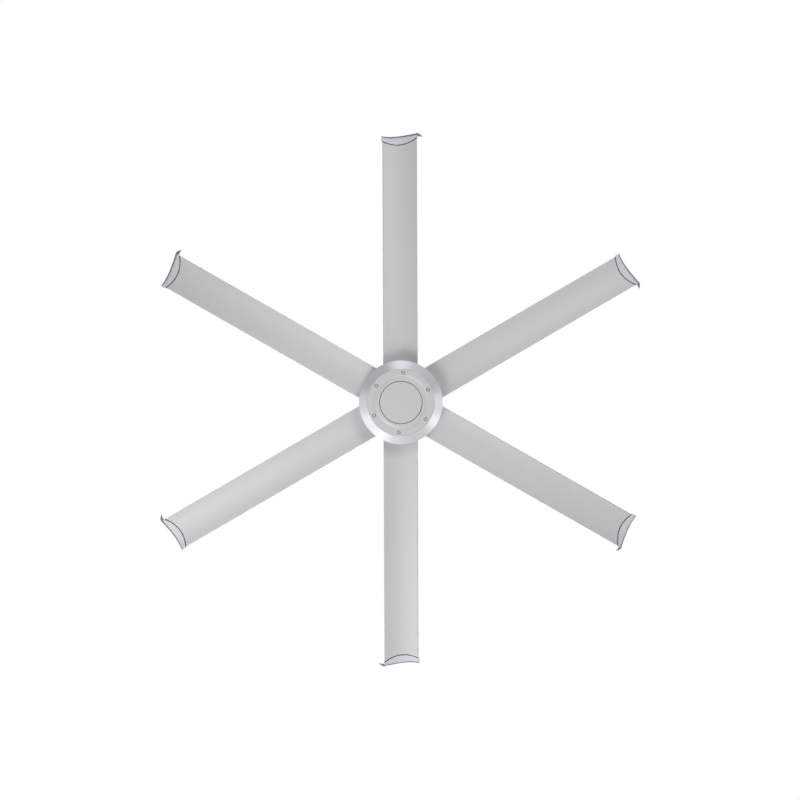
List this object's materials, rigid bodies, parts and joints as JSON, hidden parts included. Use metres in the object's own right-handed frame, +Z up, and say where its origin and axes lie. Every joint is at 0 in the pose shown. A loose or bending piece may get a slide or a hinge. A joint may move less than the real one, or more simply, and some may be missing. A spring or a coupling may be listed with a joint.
{
  "type": "ceiling fan",
  "caption": "Large ceiling fan: long hollow arched blades with swept winglet tips on a drum hub with a bright chamfer ring, hung by a downrod and ball joint under a canopy.",
  "frame": {"origin": "centre of the bracket's slot pattern on the ceiling, in the bracket's upper face", "axes": "+Z up into the ceiling along the rotor axis at rest, +Y along the line of the two slots"},
  "size_m": [1.9326, 2.1466, 0.423],
  "materials": {
    "blade_paint": "satin silver paint on extruded aluminium",
    "tip_plastic": "moulded plastic, satin silver, slightly violet",
    "hub_paint": "satin silver paint on aluminium",
    "face_paint": "satin silver paint on aluminium",
    "cover_disc_paint": "satin silver painted cover",
    "brushed_aluminium": "turned and brushed, bright",
    "screw_steel": "stainless, satin",
    "canopy_paint": "satin silver paint",
    "cover_paint": "satin silver paint",
    "rod_paint": "satin silver paint",
    "black_rubber": "matt",
    "black_plastic": "moulded",
    "white_nylon": "moulded",
    "zinc_steel": "zinc plated",
    "bright_steel": "ground",
    "yellow_brass": "plain",
    "cast_aluminium": "as cast",
    "spar_aluminium": "mill finish",
    "rotor_steel": "plated",
    "lamination_steel": "varnished stack",
    "copper_wire": "enamelled",
    "magnet_grey": "sintered",
    "green_board": "solder mask"
  },
  "bodies": {
    "ceiling_mount": {"hanger_bracket": "zinc_steel", "canopy": "canopy_paint", "canopy_trim": "black_rubber", "canopy_screws": "zinc_steel", "receiver_box": "black_plastic", "terminal_block": "white_nylon", "earth_screw": "yellow_brass"},
    "ball_liner": {"ball_seat": "white_nylon"},
    "hanging_frame": {"hanger_ball": "black_plastic", "ball_pin": "zinc_steel", "ball_screw": "zinc_steel", "downrod": "rod_paint", "motor_coupling": "cast_aluminium", "clevis_pin": "zinc_steel", "pin_clip": "zinc_steel", "coupling_screws": "zinc_steel", "coupling_cover": "cover_paint", "motor_shaft": "bright_steel", "shaft_rings": "bright_steel", "stator_core": "lamination_steel", "stator_windings": "copper_wire", "sensor_board": "green_board", "bearing_inner_races": "bright_steel"},
    "rotor": {"bearing_outer_races": "bright_steel", "bearing_balls": "bright_steel", "rotor_hub": "cast_aluminium", "rotor_case": "rotor_steel", "rotor_magnets": "magnet_grey", "rotor_screws": "zinc_steel", "upper_shell": "hub_paint", "lower_shell": "hub_paint", "shell_screws": "zinc_steel", "hub_ring": "brushed_aluminium", "hub_plate": "face_paint", "face_screws": "screw_steel", "centre_cover": "cover_disc_paint", "spar_bolts": "zinc_steel", "blade_screws": "zinc_steel", "tip_screws": "zinc_steel", "blade_spar_1": "spar_aluminium", "blade_1": "blade_paint", "blade_tip_1": "tip_plastic", "blade_spar_2": "spar_aluminium", "blade_2": "blade_paint", "blade_tip_2": "tip_plastic", "blade_spar_3": "spar_aluminium", "blade_3": "blade_paint", "blade_tip_3": "tip_plastic", "blade_spar_4": "spar_aluminium", "blade_4": "blade_paint", "blade_tip_4": "tip_plastic", "blade_spar_5": "spar_aluminium", "blade_5": "blade_paint", "blade_tip_5": "tip_plastic", "blade_spar_6": "spar_aluminium", "blade_6": "blade_paint", "blade_tip_6": "tip_plastic"}
  },
  "joints": [
    {"name": "seat_rock", "type": "hinge", "parent": "ceiling_mount", "child": "ball_liner", "pos_m": [0, 0, -0.04], "axis": [1, 0, 0], "range_deg": [-10, 10]},
    {"name": "rod_rock", "type": "hinge", "parent": "ball_liner", "child": "hanging_frame", "pos_m": [0, 0, -0.04], "axis": [0, 1, 0], "range_deg": [-10, 10]},
    {"name": "rotor_spin", "type": "hinge", "parent": "hanging_frame", "child": "rotor", "pos_m": [0, 0, -0.337], "axis": [0, 0, 1], "continuous": true}
  ]
}
